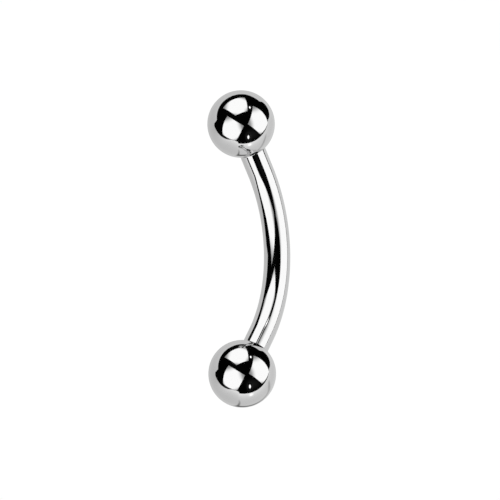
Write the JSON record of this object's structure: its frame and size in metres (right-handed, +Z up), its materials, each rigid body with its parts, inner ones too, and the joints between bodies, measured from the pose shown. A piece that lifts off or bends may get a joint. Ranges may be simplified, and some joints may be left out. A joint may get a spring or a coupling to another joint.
{
  "type": "curved eyebrow barbell",
  "caption": "Curved barbell for an eyebrow piercing: a bent steel bar with a screw-on ball at each end, lying on its side.",
  "frame": {"origin": "middle of the footprint, on the surface that the barbell lies on", "axes": "+Y from the lower ball to the upper ball, +X towards the bulge of the bend, +Z up"},
  "size_m": [0.0044, 0.0142, 0.003],
  "materials": {
    "bar_steel": "mirror polished, fine draw marks along the wire",
    "ball_steel": "mirror polished"
  },
  "bodies": {
    "bar": {"curved_bar": "bar_steel"},
    "upper_ball": {"upper_ball": "ball_steel"},
    "lower_ball": {"lower_ball": "ball_steel"}
  },
  "joints": [
    {"name": "upper_ball_unscrew", "type": "slide", "parent": "bar", "child": "upper_ball", "axis": [-0.5312, 0.8211, 0.2086], "range_m": [0, 0.0024]},
    {"name": "lower_ball_unscrew", "type": "slide", "parent": "bar", "child": "lower_ball", "axis": [-0.5312, -0.8211, 0.2086], "range_m": [0, 0.0024]}
  ]
}
